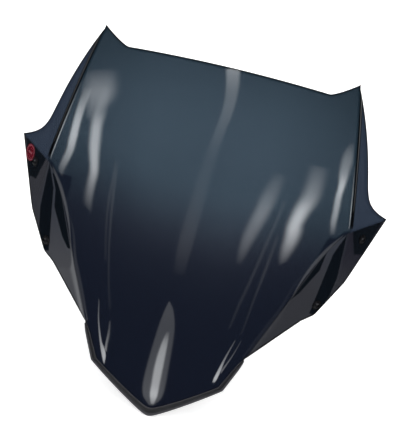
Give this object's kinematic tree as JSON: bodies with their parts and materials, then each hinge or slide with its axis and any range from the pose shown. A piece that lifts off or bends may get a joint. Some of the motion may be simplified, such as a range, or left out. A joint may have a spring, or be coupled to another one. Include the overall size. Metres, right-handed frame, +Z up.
{
  "type": "motorcycle windshield screen",
  "caption": "Smoked acrylic windshield screen with folded-back wings, pointed upper ears, a rubber trim on its V-shaped base, a domed badge and rubber well nut fixings.",
  "frame": {"origin": "the middle of the line between the two upper fixing points, on the sheet's front face", "axes": "+X to the rider's left (right in a front view), +Y to the rear of the vehicle, +Z up, with the screen raked back as installed"},
  "size_m": [0.455, 0.275, 0.3689],
  "materials": {
    "acrylic": "smoked acrylic, polished, with an opaque black border on the wings and lower middle",
    "rubber_trim": "satin black rubber",
    "badge_face": "red enamel with a pale ring",
    "badge_lens": "clear domed resin",
    "black_screw": "black coated steel, satin",
    "washer_nylon": "black nylon, satin",
    "nut_rubber": "matt black rubber",
    "insert_brass": "turned brass"
  },
  "bodies": {
    "root": {"screen": "acrylic", "base_trim": "rubber_trim", "badge_disc": "badge_face", "badge_dome": "badge_lens", "screw_upper_left": "black_screw", "screw_upper_right": "black_screw", "screw_lower_left": "black_screw", "screw_lower_right": "black_screw", "washer_upper_left": "washer_nylon", "washer_upper_right": "washer_nylon", "washer_lower_left": "washer_nylon", "washer_lower_right": "washer_nylon", "well_nut_upper_left": "nut_rubber", "well_nut_upper_right": "nut_rubber", "well_nut_lower_left": "nut_rubber", "well_nut_lower_right": "nut_rubber", "insert_upper_left": "insert_brass", "insert_upper_right": "insert_brass", "insert_lower_left": "insert_brass", "insert_lower_right": "insert_brass"}
  },
  "joints": []
}
